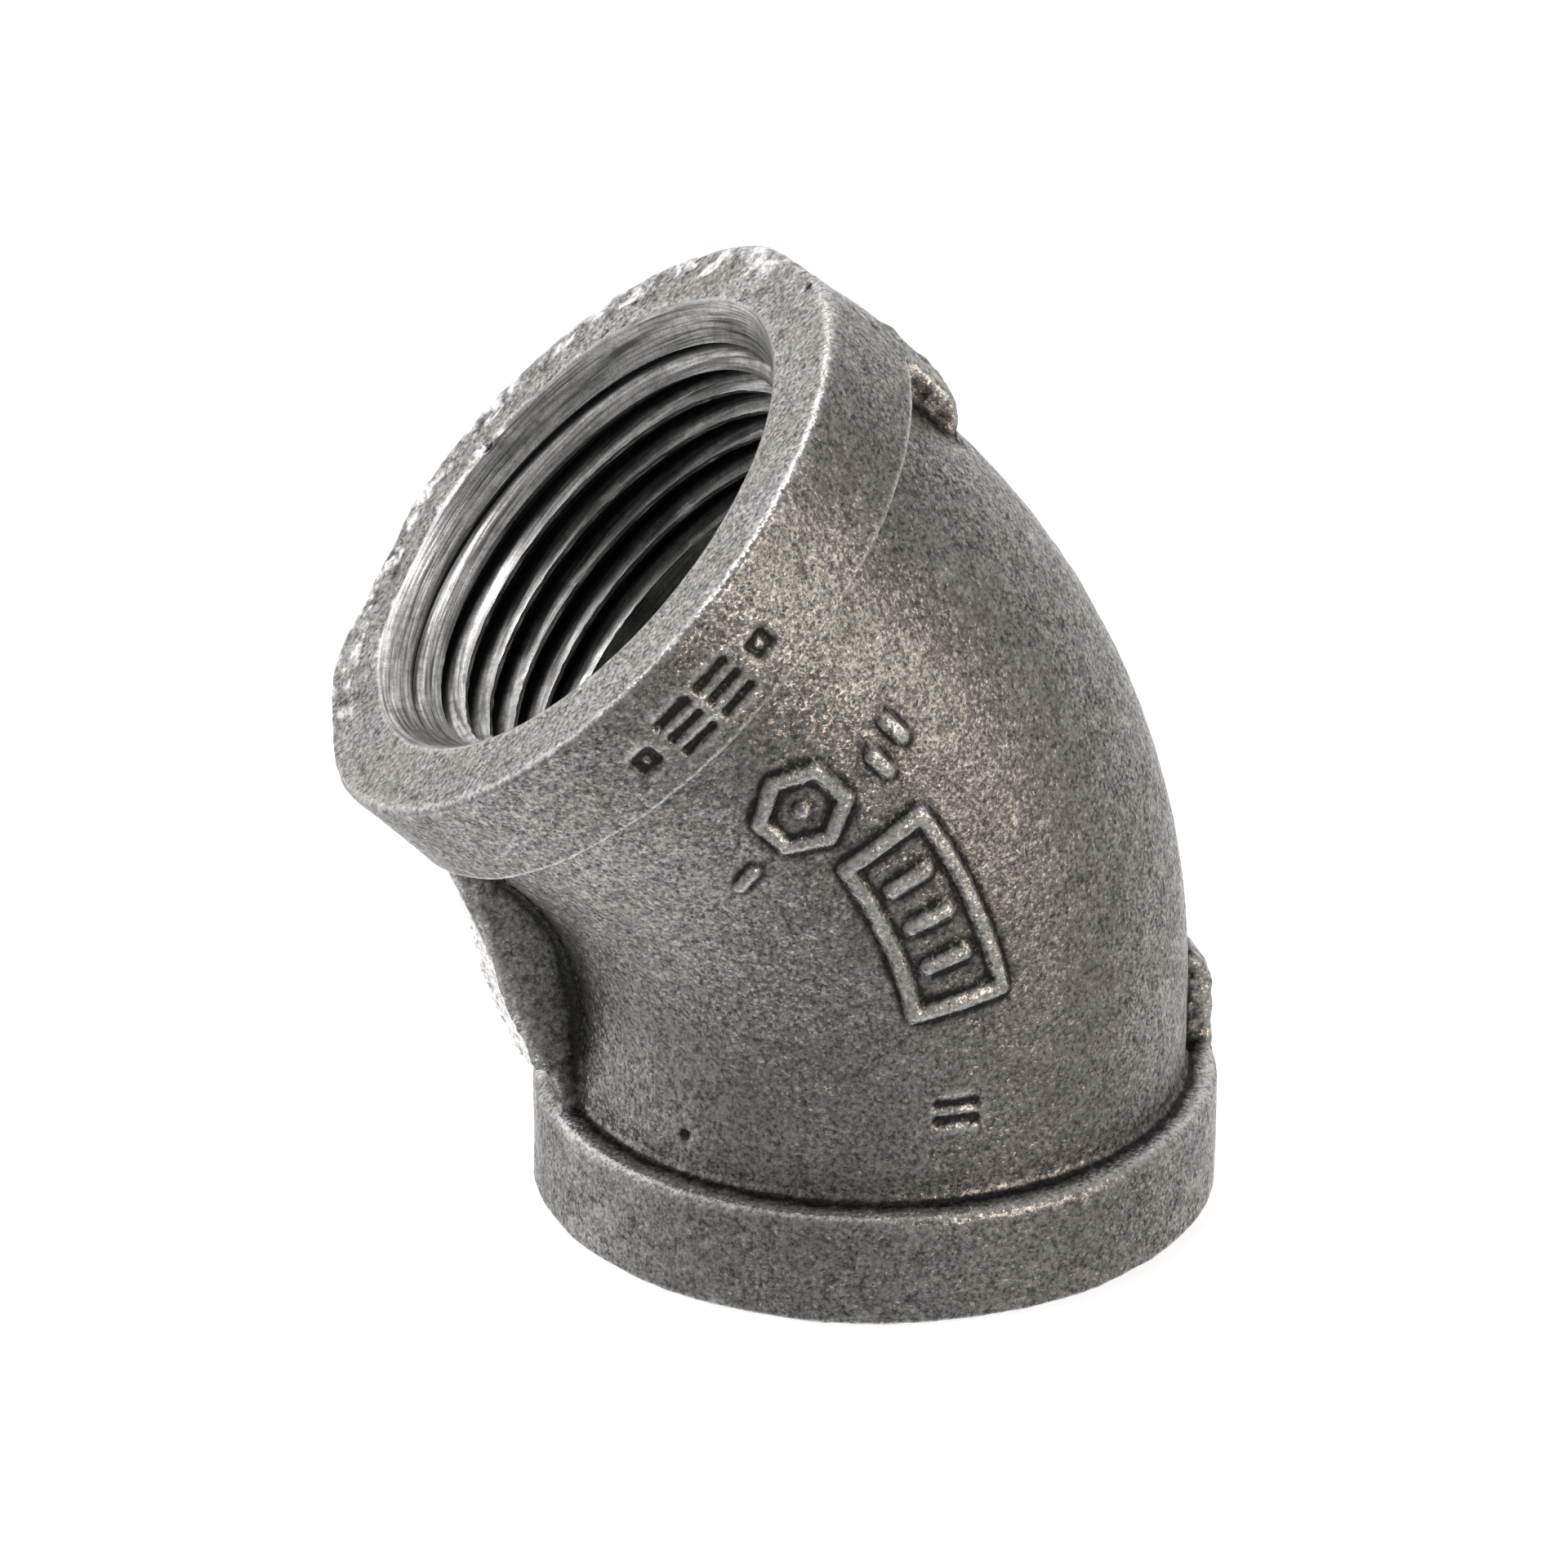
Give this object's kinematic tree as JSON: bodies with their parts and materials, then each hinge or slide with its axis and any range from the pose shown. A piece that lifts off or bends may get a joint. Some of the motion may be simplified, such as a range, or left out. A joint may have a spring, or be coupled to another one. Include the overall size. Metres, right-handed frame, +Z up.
{
  "type": "pipe elbow",
  "caption": "Cast iron pipe elbow that turns a pipe run by 45 degrees, with an internal tapered pipe thread in each banded end.",
  "frame": {"origin": "centre of the bounding box's base, on the plane that the lower end face stands on", "axes": "+Z up along the lower leg's axis, +X towards the outside of the bend, +Y across the plane of the bend; the upper leg leans 45 degrees to -X"},
  "size_m": [0.059, 0.0456, 0.065],
  "materials": {
    "malleable_iron": "uncoated sand-cast black malleable iron with a fine granular skin; countersinks and threads bare and freshly cut"
  },
  "bodies": {
    "root": {"elbow_casting": "malleable_iron"}
  },
  "joints": []
}
